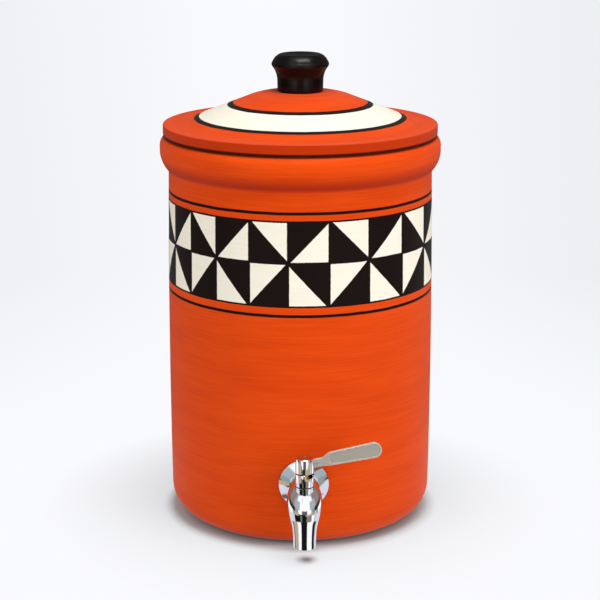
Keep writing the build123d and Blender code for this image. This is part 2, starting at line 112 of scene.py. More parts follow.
def circle_centre(a, b, c):
    """The centre of the circle through three points."""
    ax, ay = a
    bx, by = b
    cx, cy = c
    twice = 2 * (ax * (by - cy) + bx * (cy - ay) + cx * (ay - by))
    sa, sb, sc = ax * ax + ay * ay, bx * bx + by * by, cx * cx + cy * cy
    return ((sa * (by - cy) + sb * (cy - ay) + sc * (ay - by)) / twice,
            (sa * (cx - bx) + sb * (ax - cx) + sc * (bx - ax)) / twice)


def closed(bm, centre=(0.0, 0.0)):
    """Merges the seam and the poles of a turned skin and points its faces outwards."""
    bmesh.ops.remove_doubles(bm, verts=bm.verts[:], dist=SAME_PLACE)
    loose = [v for v in bm.verts if not v.link_faces]
    bmesh.ops.delete(bm, geom=loose, context="VERTS")
    bmesh.ops.recalc_face_normals(bm, faces=bm.faces[:])
    bmesh.ops.translate(bm, vec=(centre[0] * MM, centre[1] * MM, 0), verts=bm.verts[:])
    return bm


def rod(radius, low, high, centre=(0.0, 0.0), steps=96):
    """A plain upright cylinder, used to bore or to cut."""
    bm = bmesh.new()
    middle = Matrix.Translation((0, 0, (low + high) / 2 * MM))
    bmesh.ops.create_cone(bm, cap_ends=True, segments=steps, radius1=radius * MM, radius2=radius * MM,
                          depth=(high - low) * MM, matrix=middle)
    return closed(bm, centre)


def along_shank(bm):
    """Lays a piece drawn about the upright axis on the shank's axis, its foot on the jar's wall."""
    place = Matrix.Translation((0, -WALL_AT_TAP * MM, TAP_HEIGHT * MM)) @ Matrix.Rotation(pi / 2, 4, "X")
    bmesh.ops.transform(bm, matrix=place, verts=bm.verts[:])
    return bm


def loose_object(bm, name="tool"):
    mesh = bpy.data.meshes.new(name)
    bm.to_mesh(mesh)
    bm.free()
    obj = bpy.data.objects.new(name, mesh)
    bpy.context.scene.collection.objects.link(obj)
    return obj


def applied(obj):
    """The object's mesh with its modifiers applied, as a bmesh; the object is taken away."""
    bpy.context.view_layer.update()
    graph = bpy.context.evaluated_depsgraph_get()
    mesh = bpy.data.meshes.new_from_object(obj.evaluated_get(graph))
    bm = bmesh.new()
    bm.from_mesh(mesh)
    bpy.data.meshes.remove(mesh)
    bpy.data.objects.remove(obj)
    return bm


def joined(bm, tools, operation):
    """Cuts tools from a solid, or fuses them to it, one after another."""
    for tool in tools:
        body, cutter = loose_object(bm), loose_object(tool)
        modifier = body.modifiers.new("shape", "BOOLEAN")
        modifier.operation, modifier.solver, modifier.object = operation, "EXACT", cutter
        bm = applied(body)
        bpy.data.objects.remove(cutter)
    return bm


def piece(name, bm, body, materials, stands_for=(), sharp=35.0, place=None):
    """A finished piece: smooth shaded with crisp edges above an angle, riding on its body."""
    for face in bm.faces:
        face.smooth = True
        face.material_index = place(face) if place else 0
    for edge in bm.edges:
        edge.smooth = len(edge.link_faces) == 2 and edge.calc_face_angle(0.0) < radians(sharp)
    obj = loose_object(bm, name)
    for material in materials:
        obj.data.materials.append(material)
    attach(obj, body)
    if stands_for:
        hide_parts(*stands_for)


def from_cad(node):
    """A merged copy of a CAD node's mesh, its flat faces made whole."""
    bm = bmesh.new()
    bm.from_mesh(nodes[node].data)
    bmesh.ops.remove_doubles(bm, verts=bm.verts[:], dist=SAME_PLACE)
    bmesh.ops.dissolve_limit(bm, angle_limit=radians(0.2), verts=bm.verts[:], edges=bm.edges[:],
                             use_dissolve_boundaries=False, delimit={"NORMAL"})
    return bm


def eased(bm, width):
    """Breaks the sharp edges of a machined piece by a small radius."""
    body = loose_object(bm)
    modifier = body.modifiers.new("edges", "BEVEL")
    modifier.width, modifier.segments = width * MM, 2
    modifier.limit_method, modifier.angle_limit = "ANGLE", radians(30)
    modifier.use_clamp_overlap = True
    return applied(body)


# ------------------------------------------------------------ shader tools

class Field:
    """A number that varies over a surface, so that a pattern reads as arithmetic."""

    def __init__(self, tree, socket):
        self.tree, self.socket = tree, socket

    def _node(self, operation, *others):
        node = self.tree.nodes.new("ShaderNodeMath")
        node.operation = operation
        for slot, value in enumerate((self, *others)):
            if isinstance(value, Field):
                self.tree.links.new(value.socket, node.inputs[slot])
            else:
                node.inputs[slot].default_value = value
        return Field(self.tree, node.outputs[0])

    def __add__(self, other):
        return self._node("ADD", other)

    def __sub__(self, other):
        return self._node("SUBTRACT", other)

    def __mul__(self, other):
        return self._node("MULTIPLY", other)

    def __truediv__(self, other):
        return self._node("DIVIDE", other)

    def abs(self):
        return self._node("ABSOLUTE")

    def floor(self):
        return self._node("FLOOR")

    def cosine(self):
        return self._node("COSINE")

    def root(self):
        return self._node("SQRT")

    def least(self, other):
        return self._node("MINIMUM", other)

    def most(self, other):
        return self._node("MAXIMUM", other)

    def angle_from(self, other):
        return self._node("ARCTAN2", other)

    def above(self, other):
        return self._node("GREATER_THAN", other)

    def mixed(self, other, share):
        """This field where the share is 0 and the other where it is 1."""
        step = other - self if isinstance(other, Field) else self * -1 + other
        return self + step * share

    def edge(self, softness):
        """0 below zero and 1 above it, with a soft edge of the given width."""
        node = self.tree.nodes.new("ShaderNodeMapRange")
        node.interpolation_type = "SMOOTHSTEP"
        self.tree.links.new(self.socket, node.inputs["Value"])
        node.inputs["From Min"].default_value = -softness / 2
        node.inputs["From Max"].default_value = softness / 2
        return Field(self.tree, node.outputs["Result"])

    def ranged(self, low, high, new_low, new_high):
        """This field with its range low to high carried over to a new one, and held at its ends."""
        node = self.tree.nodes.new("ShaderNodeMapRange")
        self.tree.links.new(self.socket, node.inputs["Value"])
        limits = {"From Min": low, "From Max": high, "To Min": new_low, "To Max": new_high}
        for key, value in limits.items():
            node.inputs[key].default_value = value
        return Field(self.tree, node.outputs["Result"])


def ramp(tree, stops, field):
    """A colour that runs through stops of (place, linear colour)."""
    node = tree.nodes.new("ShaderNodeValToRGB")
    elements = node.color_ramp.elements
    while len(elements) < len(stops):
        elements.new(0.5)
    for element, (place, colour) in zip(elements, stops):
        element.position, element.color = place, (*colour, 1.0)
    tree.links.new(field.socket, node.inputs[0])
    return node.outputs[0]


def blend(tree, first, second, share):
    """One colour where the share is 0 and another where it is 1."""
    mix = tree.nodes.new("ShaderNodeMix")
    mix.data_type = "RGBA"
    tree.links.new(share.socket, mix.inputs["Factor"])
    for key, value in (("A", first), ("B", second)):
        socket = [s for s in mix.inputs if s.name == key and s.type == "RGBA"][0]
        if isinstance(value, tuple):
            socket.default_value = (*value, 1.0)
        else:
            tree.links.new(value, socket)
    return [s for s in mix.outputs if s.type == "RGBA"][0]


class Finish:
    """A material under construction, with its object coordinates in millimetres."""

    def __init__(self, name, **settings):
        self.material = bpy.data.materials.new(name)
        self.material.use_nodes = True
        self.tree = self.material.node_tree
        self.shader = self.tree.nodes["Principled BSDF"]
        for key, value in settings.items():
            self.shader.inputs[key.replace("_", " ")].default_value = value
        where = self.tree.nodes.new("ShaderNodeTexCoord")
        split = self.tree.nodes.new("ShaderNodeSeparateXYZ")
        self.tree.links.new(where.outputs["Object"], split.inputs[0])
        self.x, self.y, self.z = [Field(self.tree, split.outputs[i]) * (1 / MM) for i in range(3)]

    def radius(self):
        return (self.x * self.x + self.y * self.y).root()

    def grain(self, x, y, z, detail=3.0, roughness=0.5):
        """Noise between 0 and 1 at a place given by three fields."""
        vector = self.tree.nodes.new("ShaderNodeCombineXYZ")
        for slot, value in enumerate((x, y, z)):
            self.tree.links.new(value.socket, vector.inputs[slot])
        texture = self.tree.nodes.new("ShaderNodeTexNoise")
        self.tree.links.new(vector.outputs[0], texture.inputs["Vector"])
        texture.inputs["Scale"].default_value = 1.0
        texture.inputs["Detail"].default_value = detail
        texture.inputs["Roughness"].default_value = roughness
        return Field(self.tree, texture.outputs[0])

    def shade(self, stops, field):
        return ramp(self.tree, stops, field)

    def blend(self, first, second, share):
        return blend(self.tree, first, second, share)

    def colour(self, socket):
        self.tree.links.new(socket, self.shader.inputs["Base Color"])

    def roughness(self, field):
        self.tree.links.new(field.socket, self.shader.inputs["Roughness"])

    def relief(self, field, depth):
        """Bump from a height field whose unit stands for a depth in millimetres."""
        bump = self.tree.nodes.new("ShaderNodeBump")
        bump.inputs["Strength"].default_value = 1.0
        bump.inputs["Distance"].default_value = depth * MM
        self.tree.links.new(field.socket, bump.inputs["Height"])
        self.tree.links.new(bump.outputs[0], self.shader.inputs["Normal"])


# --------------------------------------------------------------- clay paint

ORANGE_DEEP = (0.60, 0.042, 0.001)
ORANGE = (0.71, 0.060, 0.002)
ORANGE_LIGHT = (0.80, 0.082, 0.005)
# A deep orange painted in for shade: in the crease under the jar's collar and on the side of the lid's brim
ORANGE_PAINTED_SHADE = (0.36, 0.016, 0.0005)
CREAM = (0.90, 0.84, 0.71)
BLACK_PAINT = (0.0045, 0.0035, 0.003)
# Near black painted in for the shade in the gap between the lid and the jar
GAP_SHADE = (0.060, 0.006, 0.001)
CREAM_WORN = (0.84, 0.77, 0.63)
PAINT_EDGE = 0.35
CLAY_PAINT = {"Specular_IOR_Level": 0.06, "Sheen_Weight": 0.055, "Sheen_Roughness": 0.45}

# The jar's band: two rows of cells, each cut by a slant into a black and a cream triangle
BAND_LOW, BAND_MIDDLE, BAND_TOP = 204.2, 240.1, 274.1
LINE_LOW, LINE_HIGH, LINE_HALF_WIDTH = 197.3, 279.9, 1.22
CELLS_ROUND, CELL_WIDTH, CELL_SLANT_HEIGHT = 22, 31.4, 35.0
BLACK_MARGIN, BAND_MARGIN, BLOT_RADIUS = 0.9, 1.5, 2.4


def brushed_orange(finish, across):
    """The orange slip with its fine level brush strokes, and the strokes' own field."""
    x, y = finish.x, finish.y
    strokes = finish.grain(x * 0.022, y * 0.022, across * 1.05, 5.0, 0.66)
    broad = finish.grain(x * 0.012, y * 0.012, across * 0.085, 2.0, 0.5)
    speck = finish.grain(x * 0.9, y * 0.9, across * 1.6, 2.0, 0.6)
    tone = strokes * 0.60 + broad * 0.30 + speck * 0.10
    stops = ((0.30, ORANGE_DEEP), (0.50, ORANGE), (0.71, ORANGE_LIGHT))
    return finish.shade(stops, tone), strokes, speck


def wobble(finish, size, seed):
    """A slow drift of a hand-drawn line, in millimetres."""
    return finish.grain(finish.x * 0.06 + seed, finish.y * 0.06, finish.z * 0.02, 2.0) * (2 * size) - size


def painted(finish, orange, strokes, speck, black, cream):
    """Lays the black and then the cream over the orange, with a faint step at their edges."""
    thin = strokes.ranged(0.2, 0.8, 0.0, 0.010)
    cream_tone = finish.shade(((0.25, CREAM_WORN), (0.6, CREAM)), strokes * 0.7 + speck * 0.3)
    under = finish.blend(orange, BLACK_PAINT, black * (thin * -1 + 1))
    finish.colour(finish.blend(under, cream_tone, cream))
    gloss = strokes.ranged(0.3, 0.7, 0.52, 0.62)
    finish.roughness(gloss.mixed(0.48, black))
    finish.relief(strokes * 0.5 + speck * 0.2 + black * 0.6 + cream * 0.4, 0.055)


def jar_paint():
    """Orange slip with two thin lines and the band of black and cream triangles between them."""
    finish = Finish("painted_clay_jar", **CLAY_PAINT)
    orange, strokes, speck = brushed_orange(finish, finish.z)
    # Painted shade: the orange is darkened in the crease under the collar, where the collar's shadow falls
    corner = finish.z.ranged(295.6, 298.6, 0.0, 0.85) * finish.z.ranged(301.0, 310.5, 1.0, 0.0)
    orange = finish.blend(orange, ORANGE_PAINTED_SHADE, corner)
    # Painted shade: a dark ring where the lid rests, hidden under its brim, for the shade in the gap
    # between lid and jar
    lid_gap_shade = (finish.z - 323.9).edge(1.8) * (finish.radius() - 108.8).edge(1.6) * 0.9
    orange = finish.blend(orange, GAP_SHADE, lid_gap_shade)
    z = finish.z + wobble(finish, 0.28, 3.0)
    from_lines = (z - LINE_HIGH).abs().least((z - LINE_LOW).abs())
    lines = (from_lines * -1 + LINE_HALF_WIDTH).edge(PAINT_EDGE)
    band = (z - BAND_LOW).least(z * -1 + BAND_TOP)
    black = lines.most(band.edge(PAINT_EDGE))
    upper_row, lower_row = BAND_TOP - BAND_MIDDLE, BAND_MIDDLE - BAND_LOW
    # The painter's cells aren't quite even: each line's angle drifts by a few degrees round the jar
    angle = finish.x.angle_from(finish.y * -1) * (180 / pi)
    drift = ((angle + 16.14) * (pi / 180)).cosine() * 6.97
    cell = (angle + drift) * (CELLS_ROUND / 360) + 3.974
    whole = cell.floor()
    part = cell - whole
    even = (whole * 0.5 - (whole * 0.5).floor()) * -2 + 1
    upper = z.above(BAND_MIDDLE)
    rise = ((z - BAND_LOW) / lower_row).mixed((z - BAND_MIDDLE) / upper_row, upper)
    height = upper * (upper_row - lower_row) + lower_row
    along = (part * -1 + 1).mixed(part, upper)
    up = rise.mixed(rise * -1 + 1, even)
    slant = (along + up - 1) * (1 / sqrt(1 / CELL_WIDTH ** 2 + 1 / CELL_SLANT_HEIGHT ** 2))
    triangle = ((along * -1 + 1) * CELL_WIDTH).least((up * -1 + 1) * height).least(slant) - BLACK_MARGIN
    # Where the points of the triangles meet, the black is filled in as a small blot
    blot_across = (cell * 0.5 - (cell * 0.5 + 0.5).floor()) * (2 * CELL_WIDTH)
    blot_up = z - BAND_MIDDLE
    blot = (blot_across * blot_across + blot_up * blot_up).root() - BLOT_RADIUS
    fine = finish.grain(finish.x * 0.5, finish.y * 0.5, finish.z * 0.5, 2.0) * 0.5 - 0.25
    cream = (triangle.least(band - BAND_MARGIN).least(blot) + fine).edge(0.4)
    painted(finish, orange, strokes, speck, black, cream)
    return finish.material


def lid_paint():
    """Orange slip with a cream ring between two black rings on the dome."""
    finish = Finish("painted_clay_lid", **CLAY_PAINT)
    radius = finish.radius()
    orange, strokes, speck = brushed_orange(finish, radius - finish.z)
    ring_inner, ring_outer, outline_inner, outline_outer = 60.6, 84.0, 55.8, 88.2
    on_top = (finish.z - 333.0).edge(0.2)
    # Painted shade: the brim's outer side is darkened, and its lower edge painted near black for the shade
    # in the gap under it
    side = (radius - 113.4).edge(0.5)
    orange = finish.blend(orange, ORANGE_PAINTED_SHADE, side * 0.62)
    orange = finish.blend(orange, GAP_SHADE, (finish.z * -1 + 327.3).edge(1.2) * side)
    r = radius + wobble(finish, 0.25, 7.0)
    black = (r - outline_inner).least(r * -1 + outline_outer).edge(PAINT_EDGE) * on_top
    cream = (r - ring_inner).least(r * -1 + ring_outer).edge(PAINT_EDGE) * on_top
    painted(finish, orange, strokes, speck, black, cream)
    return finish.material


def raw_clay():
    """Bare fired clay, where no slip was brushed: inside, under the lid and under the foot."""
    finish = Finish("bare_clay", Specular_IOR_Level=0.15, Roughness=0.92)
    rings = finish.grain(finish.x * 0.02, finish.y * 0.02, (finish.z - finish.radius()) * 0.6, 3.0)
    speck = finish.grain(finish.x * 1.1, finish.y * 1.1, finish.z * 1.1, 3.0, 0.7)
    tone = rings * 0.6 + speck * 0.4
    finish.colour(finish.shade(((0.3, (0.33, 0.105, 0.045)), (0.7, (0.52, 0.19, 0.09))), tone))
    finish.relief(tone, 0.25)
    return finish.material


# ------------------------------------------------------- wood, metal, rubber

def black_wood():
    """Black lacquer on turned wood: lathe rings, a little brown showing through here and there."""
    finish = Finish("black_wood", Specular_IOR_Level=0.04, Coat_Weight=0.30, Coat_Roughness=0.22)
    radius = finish.radius()
    lathe = finish.grain(radius * 0.02, finish.z * 0.02, (finish.z + radius * 0.8) * 1.6, 3.0)
    pores = finish.grain(finish.x * 0.12, finish.y * 1.0, finish.z * 0.9, 3.0, 0.6)
    wear = finish.grain(finish.x * 0.10 + 4.0, finish.y * 0.10, finish.z * 0.25, 2.0)
    brown = (wear * 0.7 + lathe * 0.3 - 0.50).edge(0.22)
    darkest, dark, showing = (0.0012, 0.0012, 0.0012), (0.0035, 0.003, 0.003), (0.007, 0.003, 0.003)
    deep = finish.shade(((0.3, darkest), (0.7, dark)), lathe * 0.5 + pores * 0.5)
    finish.colour(finish.blend(deep, showing, brown))
    finish.roughness((lathe * 0.5 + pores * 0.5).ranged(0.3, 0.7, 0.26, 0.42))
    finish.relief(lathe * 0.6 + pores * 0.4, 0.06)
    return finish.material


def metal(name, dark, light, rough_low, rough_high, across, relief, metallic=1.0):
    """A metal whose tone and polish vary a little from place to place, with noise scaled by across."""
    finish = Finish(name, Metallic=metallic)
    smear = finish.grain(finish.x * across[0], finish.y * across[1], finish.z * across[2], 3.0, 0.55)
    finish.colour(finish.shade(((0.3, dark), (0.7, light)), smear))
    finish.roughness(smear.ranged(0.3, 0.7, rough_low, rough_high))
    finish.relief(smear, relief)
    return finish.material


def matt(name, dark, light, rough_low, rough_high, size, relief):
    """Rubber or plastic with a fine mottle."""
    finish = Finish(name)
    mottle = finish.grain(finish.x * size, finish.y * size, finish.z * size, 3.0, 0.6)
    finish.colour(finish.shade(((0.3, dark), (0.7, light)), mottle))
    finish.roughness(mottle.ranged(0.3, 0.7, rough_low, rough_high))
    finish.relief(mottle, relief)
    return finish.material


chrome = metal("chrome", (0.80, 0.81, 0.83), (0.90, 0.90, 0.91), 0.035, 0.075, (0.12, 0.12, 0.12), 0.006)
satin_steel = metal("satin_steel", (0.56, 0.52, 0.46), (0.60, 0.56, 0.50), 0.24, 0.30,
                    (0.12, 0.12, 0.12), 0.002, 0.45)
panel_steel = metal("panel_steel", (0.45, 0.42, 0.36), (0.51, 0.47, 0.41), 0.34, 0.42,
                    (0.10, 0.10, 0.60), 0.002, 0.45)
index_steel = metal("index_steel", (0.52, 0.58, 0.62), (0.62, 0.66, 0.70), 0.10, 0.16,
                    (0.4, 0.4, 0.4), 0.010)
tarnished = metal("tarnished_steel", (0.020, 0.018, 0.016), (0.050, 0.045, 0.040), 0.45, 0.60,
                  (0.6, 0.6, 0.6), 0.010)
stainless = metal("stainless", (0.52, 0.52, 0.52), (0.66, 0.66, 0.66), 0.22, 0.34, (0.6, 0.6, 1.2), 0.010)
zinc_steel = metal("zinc_steel", (0.46, 0.47, 0.50), (0.62, 0.62, 0.60), 0.30, 0.44, (0.4, 0.4, 0.4), 0.012)
brass = metal("brass", (0.62, 0.40, 0.13), (0.78, 0.55, 0.22), 0.18, 0.30, (0.5, 0.5, 1.5), 0.010)
rubber = matt("rubber", (0.012, 0.012, 0.012), (0.030, 0.029, 0.028), 0.62, 0.80, 1.2, 0.03)
seal_plastic = matt("seal_plastic", (0.62, 0.60, 0.55), (0.80, 0.79, 0.75), 0.32, 0.45, 0.6, 0.01)
jar_slip, lid_slip, bare = jar_paint(), lid_paint(), raw_clay()
wood = black_wood()


# ---------------------------------------------------------------- the jar

def wall_radius(height):
    """The outer radius of the wall at a height, on one arc from the foot over the belly to the neck."""
    cx, cz = circle_centre((FOOT_RADIUS, 0), (BELLY_RADIUS, BELLY_HEIGHT), (NECK_RADIUS, NECK_HEIGHT))
    reach = hypot(FOOT_RADIUS - cx, cz)
    return cx + sqrt(reach ** 2 - (height - cz) ** 2)


def thrown(bm, depth, low, high):
    """Draws a turned clay skin in by a hair here and there, as a hand-thrown wall is never quite true."""
    for vert in bm.verts:
        x, y, z = vert.co / MM
        reach = hypot(x, y)
        if reach < 1 or not low < z < high:
            continue
        slow = noise.noise(Vector((x * 0.018, y * 0.018, z * 0.030)))
        ridge = noise.noise(Vector((x * 0.006, y * 0.006, z * 0.34 + reach * 0.2)))
        inward = depth * (0.5 + 0.32 * slow + 0.18 * ridge)
        fade = min(1.0, (z - low) / 8, (high - z) / 3)
        vert.co.x -= x / reach * inward * fade * MM
        vert.co.y -= y / reach * inward * fade * MM
    return bm


def jar_skin():
    """The pot in one skin: foot, wall, rolled collar, mouth and inside, with the hole for the tap."""
    foot_start, collar_low = 34.0, COLLAR_FACE_LOW
    under_drop = collar_low - NECK_HEIGHT
    step_out = COLLAR_RADIUS - NECK_RADIUS
    under_radius = (step_out ** 2 + under_drop ** 2) / (2 * step_out)
    half = atan2(under_drop, under_radius - step_out) / 2
    under_middle = (COLLAR_RADIUS - under_radius + under_radius * cos(half),
                    collar_low - under_radius * sin(half))
    pen = Outline(0, 0)
    pen.to(FOOT_RADIUS, 0, 23.0).to(wall_radius(foot_start), foot_start)
    pen.arc((wall_radius(160), 160), (NECK_RADIUS, NECK_HEIGHT), 96)
    pen.arc(under_middle, (COLLAR_RADIUS, collar_low), 14)
    pen.to(COLLAR_RADIUS, JAR_HEIGHT, 9.0)
    pen.to(MOUTH_RADIUS, JAR_HEIGHT, 2.0)
    pen.to(MOUTH_RADIUS, 200.0).to(MOUTH_RADIUS, 60.0).to(MOUTH_RADIUS, JAR_FLOOR, 15.0)
    pen.to(0, JAR_FLOOR)
    pen.round_corners(segments=10)
    bm = thrown(pen.turned(256), 0.22, 10, 310)
    hole = along_shank(rod(WALL_HOLE_RADIUS, -20, 10, steps=64))
    return joined(bm, [hole], "DIFFERENCE")


def jar_finish_of(face):
    """Slip outside (0), and bare clay inside, under the foot and in the tap's hole (1)."""
    centre = face.calc_center_median() / MM
    reach = hypot(centre.x, centre.y)
    inside = reach < MOUTH_RADIUS + 1.2 and centre.z > 6
    under = centre.z < 1.0
    in_hole = hypot(centre.x, centre.z - TAP_HEIGHT) < WALL_HOLE_RADIUS + 0.1 and centre.y < 0
    bore = in_hole and reach < 111.2 and not inside
    return 1 if inside or under or bore else 0


piece("jar_shell", jar_skin(), "jar", [jar_slip, bare], ("jar",), place=jar_finish_of)


# ---------------------------------------------------------------- the lid

def lid_skin():
    """The lid in one skin: dome, flat brim and the ring that locates it, with the screw's hole."""
    ring_radius, ring_inner, ring_low, ring_round = 98.6, 92.6, 313.5, 1.4
    under_land = LAND_HEIGHT - LID_WALL
    pen = Outline(SCREW_HOLE_RADIUS, under_land)
    pen.to(SCREW_HOLE_RADIUS, LAND_HEIGHT)
    pen.to(LAND_RADIUS, LAND_HEIGHT)
    pen.to(33.0, LAND_HEIGHT - 0.1, 58.0)
    pen.to(60.0, LAND_HEIGHT - 10.8).to(DOME_FOOT_RADIUS - 0.4, BRIM_TOP + 0.5, 24.0)
    pen.to(LID_RADIUS - 3.0, BRIM_TOP + 0.8, 3.0).to(LID_RADIUS, BRIM_TOP + 0.7, 0.6)
    pen.to(LID_RADIUS, JAR_HEIGHT, 1.0)
    pen.to(ring_radius, JAR_HEIGHT)
    pen.to(ring_radius, ring_low, ring_round).to(ring_inner, ring_low, ring_round)
    pen.to(ring_inner, JAR_HEIGHT)
    pen.arc(((LAND_RADIUS + DOME_FOOT_RADIUS) / 2, 341.25), (LAND_RADIUS, under_land), 24)
    pen.to(SCREW_HOLE_RADIUS, under_land)
    pen.round_corners(segments=14)
    return pen.turned(256)


def lid_finish_of(face):
    """Slip on top and round the brim (0), and bare clay below (1)."""
    centre = face.calc_center_median() / MM
    reach = hypot(centre.x, centre.y)
    under = face.normal.z < -0.1 or (reach < 99.0 and centre.z < 333.0)
    return 1 if under and not (reach > 110 and centre.z > 326.1) else 0


piece("lid_dome", lid_skin(), "lid", [lid_slip, bare], ("lid",), place=lid_finish_of)


# ---------------------------------------------------------------- the knob

def knob_skin():
    """The knob as one closed skin, with the pilot hole bored from below."""
    base = LAND_HEIGHT
    pen = Outline(0, base)
    pen.to(18.8, base, 0.8)
    pen.to(19.1, base + 9.8)
    pen.arc((20.2, base + 15.4), (23.0, base + 20.5), 16)
    pen.arc((23.8, base + 22.7), (22.9, base + 24.9), 8)
    pen.arc((20.6, base + 28.4), (16.8, base + 30.8), 10)
    pen.to(15.2, base + 30.8, 0.5)
    pen.arc((7.8, base + 29.33), (0, base + 28.8), 14)
    pilot_radius, pilot_depth = 1.8, 14.05
    pilot = rod(pilot_radius, base - 5, base + pilot_depth, steps=48)
    return joined(pen.turned(160), [pilot], "DIFFERENCE")


piece("knob_wood", knob_skin(), "lid", [wood], ("knob",))


# ---------------------------------------------------------------- the tap

def eased_radius(knots, place):
    """A smooth radius along the horn through knots of (distance, radius)."""
    for (a, ra), (b, rb) in zip(knots, knots[1:]):
        if place <= b:
            break
    i = [k[0] for k in knots].index(a)
    before, after = knots[max(i - 1, 0)], knots[min(i + 2, len(knots) - 1)]
    t = (place - a) / (b - a)
    ma = (rb - before[1]) / (b - before[0]) * (b - a)
    mb = (after[1] - ra) / (after[0] - a) * (b - a)
    return ((2 * t ** 3 - 3 * t ** 2 + 1) * ra + (t ** 3 - 2 * t ** 2 + t) * ma
            + (3 * t ** 2 - 2 * t ** 3) * rb + (t ** 3 - t ** 2) * mb)


def horn_skin():
    """The horn: rings along its centre line, bridged, from the rosette round the elbow to the outlet."""
    bend_length = ELBOW_BEND * pi / 2
    bend_low = TAP_HEIGHT - ELBOW_BEND
    straight = bend_low - OUTLET_HEIGHT
    run = straight - OUTLET_TIP
    swell, taper = ELBOW_RADIUS - STUB_RADIUS, OUTLET_RADIUS - ELBOW_RADIUS
    knots = [(0, STUB_RADIUS), (0.28 * bend_length, STUB_RADIUS + 0.72 * swell),
             (0.56 * bend_length, ELBOW_RADIUS), (0.82 * bend_length, ELBOW_RADIUS + 0.16 * taper),
             (bend_length, ELBOW_RADIUS + 0.42 * taper),
             (bend_length + 0.30 * run, ELBOW_RADIUS + 0.72 * taper),
             (bend_length + 0.65 * run, ELBOW_RADIUS + 0.91 * taper),
             (bend_length + run, OUTLET_RADIUS), (bend_length + straight, OUTLET_RADIUS)]
    bend_steps, spout_steps, lip_steps = 36, 14, 5
    places = [bend_length * i / bend_steps for i in range(bend_steps)]
    places += [bend_length + (straight - OUTLET_ROUND) * i / spout_steps for i in range(spout_steps + 1)]
    stations = [(place, eased_radius(knots, place)) for place in places]
    # The outlet's lip is rounded
    for step in range(1, lip_steps + 1):
        turn = radians(90 * step / lip_steps)
        stations.append((bend_length + straight - OUTLET_ROUND * (1 - sin(turn)),
                         OUTLET_RADIUS - OUTLET_ROUND * (1 - cos(turn))))
    bm = bmesh.new()
    rings = []
    for place, radius in stations:
        turn = min(place / ELBOW_BEND, pi / 2)
        drop = max(place - bend_length, 0)
        centre = Vector((0, BARREL_Y + ELBOW_BEND * (1 - sin(turn)),
                         bend_low + ELBOW_BEND * cos(turn) - drop))
        matrix = Matrix.Translation(centre * MM) @ Matrix.Rotation(pi / 2 + turn, 4, "X")
        ring = bmesh.ops.create_circle(bm, segments=96, radius=radius * MM, matrix=matrix)["verts"]
        rings.append(ring)
    for first, second in zip(rings, rings[1:]):
        edges = {e for ring in (first, second) for v in ring for e in v.link_edges
                 if e.other_vert(v) in ring}
        bmesh.ops.bridge_loops(bm, edges=list(edges))
    for ring in (rings[0], rings[-1]):
        bm.faces.new(ring)
    bmesh.ops.recalc_face_normals(bm, faces=bm.faces[:])
    return bm


def cast_skin():
    """Horn and neck as one casting, their meeting softened, then bored and faced by the cutters."""
    axis = (0, BARREL_Y)
    neck_low, neck_top, neck_head = 50, BONNET_SEAT + 1, 7.2
    neck = Outline(0, neck_low).to(7.6, neck_low).to(6.6, TAP_HEIGHT)
    neck = neck.to(neck_head, BONNET_SEAT - 1.2).to(neck_head, neck_top).to(0, neck_top).turned(96, axis)
    body = loose_object(joined(horn_skin(), [neck], "UNION"))
    modifier = body.modifiers.new("one_skin", "REMESH")
    modifier.mode, modifier.voxel_size = "VOXEL", 0.36 * MM
    bm = applied(body)
    for _ in range(8):
        bmesh.ops.smooth_vert(bm, verts=bm.verts[:], factor=0.5,
                              use_axis_x=True, use_axis_y=True, use_axis_z=True)
    facing = rod(7.9, BONNET_SEAT, 90, axis)
    spout_bore = rod(SPOUT_BORE, 5, TAP_HEIGHT - 10, axis)
    plug_outlet = rod(3.4, TAP_HEIGHT - 11, TAP_HEIGHT, axis, 48)
    plug_chamber = rod(5.05, TAP_HEIGHT - 5.65, 70, axis, 64)
    spigot_socket = rod(5.65, TAP_HEIGHT + 4.5, 70, axis, 64)
    inlet = along_shank(rod(SHANK_BORE, ROSETTE_HEIGHT - 3, 26, steps=48))
    seat_pocket = along_shank(rod(4.2, 17.55, 26, steps=48))
    cutters = [facing, spout_bore, plug_outlet, plug_chamber, spigot_socket, inlet, seat_pocket]
    return joined(bm, cutters, "DIFFERENCE")


def shank_skin():
    """The threaded shank that passes through the wall, bored for the water."""
    reach_inside = 24.0
    tail, head = MOUTH_RADIUS - WALL_AT_TAP - reach_inside, ROSETTE_HEIGHT + 0.4
    pitch, root, crest = 1.5, 5.3, 6.0
    core = Outline(SHANK_BORE, tail).to(root, tail, 0.5).to(root, ROSETTE_HEIGHT - 0.5).to(root + 0.6, head)
    core = core.to(SHANK_BORE, head).to(SHANK_BORE, tail).turned(64)
    thread = bmesh.new()
    start = tail + 1.0
    sunk = root - 0.15
    tooth = [(sunk, 0.0), (crest, 0.50), (crest, 0.70), (sunk, 1.2)]
    verts = [thread.verts.new((r * MM, 0, (start + h) * MM)) for r, h in tooth]
    for a, b in zip(verts, verts[1:] + verts[:1]):
        thread.edges.new((a, b))
    turns = int((ROSETTE_HEIGHT - 2.5 - start) / pitch)
    steps = 36
    first = thread.faces.new(verts)
    bmesh.ops.spin(thread, geom=[first], cent=(0, 0, 0), axis=(0, 0, 1), dvec=(0, 0, pitch / steps * MM),
                   angle=2 * pi * turns, steps=steps * turns, use_duplicate=False)
    bmesh.ops.recalc_face_normals(thread, faces=thread.faces[:])
    mesh = bpy.data.meshes.new("thread")
    thread.to_mesh(mesh)
    thread.free()
    core.from_mesh(mesh)
    bpy.data.meshes.remove(mesh)
    return along_shank(core)


